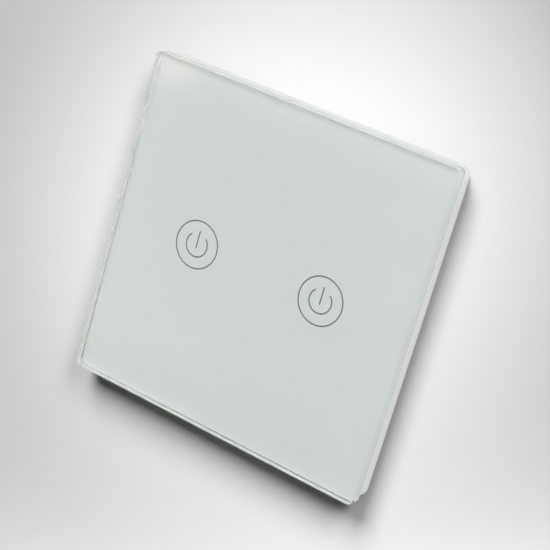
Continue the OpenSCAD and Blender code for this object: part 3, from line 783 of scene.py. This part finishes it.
print("shading is smooth below", round(SMOOTH_BELOW * 180 / pi), "degrees")

# %% [markdown]
# The pane is a slab of float glass with rounded corners and a fine polished arris along every edge. It
# starts as a cube at the pane's size. The four corners are bevelled first, then the rims, and its back
# reaches a hair past the print's face, so that print and glass meet with no air between them.

# %% Glass pane
CORNER_STEPS = 12
GLASS_ARRIS = 0.03 * MM
ARRIS_STEPS = 3
BOND = 0.02 * MM
NEAR = 0.001 * MM


def add_slab(name, low, high):
    """A box from corner to corner, with its place in its mesh: a start that is shaped further."""
    deselect_all()
    bpy.ops.mesh.primitive_cube_add(size=1, location=(low + high) / 2, scale=high - low)
    bpy.ops.object.transform_apply()
    piece = bpy.context.object
    piece.name = name
    return piece


low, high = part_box("glass_panel")
pane = add_slab("glass_pane", low, high + Vector((0, BOND, 0)))
select_edges(pane, lambda a, b: abs(a.y - b.y) > NEAR)
bevel_selected(GLASS_CORNER, CORNER_STEPS)
select_edges(pane, lambda a, b: abs(a.y - b.y) < NEAR)
bevel_selected(GLASS_ARRIS, ARRIS_STEPS)
smooth(pane)
place_piece(pane, "panel", "clear_glass", "glass_panel")

# %% [markdown]
# Moulded pieces never have razor edges. Each exact solid is copied, its loose triangles are merged and
# its flat faces joined, and a Bevel modifier then rounds every edge that is sharper than a set angle.
# That keeps all holes, pockets and tongues where they are. The frame must not throw its light into the
# shadow beside it, so rays from dull surfaces pass it by, as they do the wall.

# %% Rounded copies of the moulded pieces
SHARP = radians(40)
FLAT = radians(0.5)
MOULD_STEPS = 2


def rounded_copy(node, name, width, steps=MOULD_STEPS):
    """A copy of a solid with its sharp edges rounded off."""
    piece = bpy.data.objects.new(name, frame["nodes"][node].data.copy())
    bpy.context.scene.collection.objects.link(piece)
    pick(piece)
    bpy.ops.object.mode_set(mode="EDIT")
    bpy.ops.mesh.select_all(action="SELECT")
    bpy.ops.mesh.remove_doubles(threshold=NEAR)
    bpy.ops.mesh.dissolve_limited(angle_limit=FLAT)
    bpy.ops.object.mode_set(mode="OBJECT")
    edge = piece.modifiers.new("edges", "BEVEL")
    edge.width = width
    edge.segments = steps
    edge.limit_method = "ANGLE"
    edge.angle_limit = SHARP
    edge.use_clamp_overlap = False
    bpy.ops.object.modifier_apply(modifier=edge.name)
    smooth(piece)
    return piece


MOULDED_PIECES = [
    ("panel_frame", "frame_shell", "panel", 0.20 * MM),
    ("mounting_plate", "plate_shell", "base", 0.15 * MM),
    ("rear_box", "box_shell", "base", 0.20 * MM),
    ("terminal_block", "block_shell", "base", 0.15 * MM),
    ("housing_screws", "housing_screw_set", "base", 0.12 * MM),
    ("left_light_shroud", "left_shroud_tube", "base", 0.10 * MM),
    ("right_light_shroud", "right_shroud_tube", "base", 0.10 * MM),
]
for node, name, body, width in MOULDED_PIECES:
    place_piece(rounded_copy(node, name, width), body, slots[node], node)
bpy.data.objects["frame_shell"].visible_diffuse = False

# %% [markdown]
# The parts on the boards are softer still. Dipped discs, potted cases and shrunk sleeves are round where
# a moulded piece is only broken at its edges, so they take wider bevels in more steps.

# %% Rounded copies of the parts on the boards
BOARD_PART_STEPS = 3
BOARD_PARTS = [
    ("film_capacitor", "film_case", 0.60 * MM),
    ("varistor", "varistor_disc", 1.20 * MM),
    ("bulk_capacitor", "bulk_can", 0.18 * MM),
    ("output_capacitor", "output_can", 0.18 * MM),
    ("fuse_resistor", "fuse_body", 0.50 * MM),
    ("transformer_core", "ferrite_core", 0.25 * MM),
    ("transformer_winding", "taped_winding", 0.30 * MM),
    ("rectifier_bridge", "bridge_case", 0.15 * MM),
    ("regulator_chip", "regulator_case", 0.15 * MM),
    ("touch_chip", "chip_case", 0.15 * MM),
    ("socket_strip", "socket_row", 0.10 * MM),
    ("indicator_leds", "lamp_pair", 0.20 * MM),
    ("left_relay_cover", "left_relay_case", 0.30 * MM),
    ("right_relay_cover", "right_relay_case", 0.30 * MM),
]
for node, name, width in BOARD_PARTS:
    place_piece(rounded_copy(node, name, width, BOARD_PART_STEPS), "base", slots[node], node)

# %% [markdown]
# Each terminal has a screw whose head lies in a well, and a cage that the screw draws back. Both were
# stamped or turned, so their edges are only broken, not rounded, and each of them rides on a body of its
# own.

# %% Terminal screws and cages
TERMINALS = 4
SCREW_EDGE = 0.12 * MM
CAGE_EDGE = 0.08 * MM

for number in range(1, TERMINALS + 1):
    screw = f"clamp_screw_{number}"
    cage = f"clamp_cage_{number}"
    place_piece(rounded_copy(screw, f"terminal_screw_{number}", SCREW_EDGE), screw, slots[screw], screw)
    place_piece(rounded_copy(cage, f"terminal_cage_{number}", CAGE_EDGE), cage, slots[cage], cage)

# %% [markdown]
# Each sign has a spring of thin wire under it, which carries the touch field from the board up to the
# glass. A Screw modifier could wind it, but its end turns lie closer than the rest, so a loop works out
# the wire's line turn by turn, and a round section follows it.

# %% Touch springs
WIRE = 0.35 * MM
WIRE_ROUNDNESS = 2
WIRE_SMOOTH_BELOW = radians(60)
END_TURNS = 1.25
FREE_TURNS = 3.5
TURN_POINTS = 32
END_PITCH = 1.15 * WIRE


def spring_line(middle, radius, bottom, top):
    """Points along the wire, from the board to the glass."""
    free = abs(top - bottom) - WIRE - 2 * END_TURNS * END_PITCH
    turns = 2 * END_TURNS + FREE_TURNS
    steps = int(turns * TURN_POINTS)
    points = []
    for step in range(steps + 1):
        turn = turns * step / steps
        lower = min(turn, END_TURNS)
        inner = min(max(turn - END_TURNS, 0), FREE_TURNS)
        upper = max(turn - END_TURNS - FREE_TURNS, 0)
        rise = WIRE / 2 + (lower + upper) * END_PITCH + free * inner / FREE_TURNS
        angle = turn * tau
        points.append((middle.x + radius * cos(angle), bottom - rise, middle.z + radius * sin(angle)))
    return points


def touch_spring(side):
    """A spring on the left or the right, as large as its solid."""
    node = f"{side}_touch_spring"
    low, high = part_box(node)
    radius = (high.x - low.x - WIRE) / 2
    points = spring_line((low + high) / 2, radius, high.y, low.y)
    line = bpy.data.curves.new(f"{side}_spring_wire", "CURVE")
    line.dimensions = "3D"
    line.bevel_depth = WIRE / 2
    line.bevel_resolution = WIRE_ROUNDNESS
    line.use_fill_caps = True
    route = line.splines.new("POLY")
    route.points.add(len(points) - 1)
    for point, spot in zip(route.points, points):
        point.co = (*spot, 1.0)
    piece = bpy.data.objects.new(f"{side}_spring_wire", line)
    bpy.context.scene.collection.objects.link(piece)
    pick(piece)
    bpy.ops.object.convert(target="MESH")
    smooth(piece, WIRE_SMOOTH_BELOW)
    place_piece(piece, "base", slots[node], node)


for side in ("left", "right"):
    touch_spring(side)
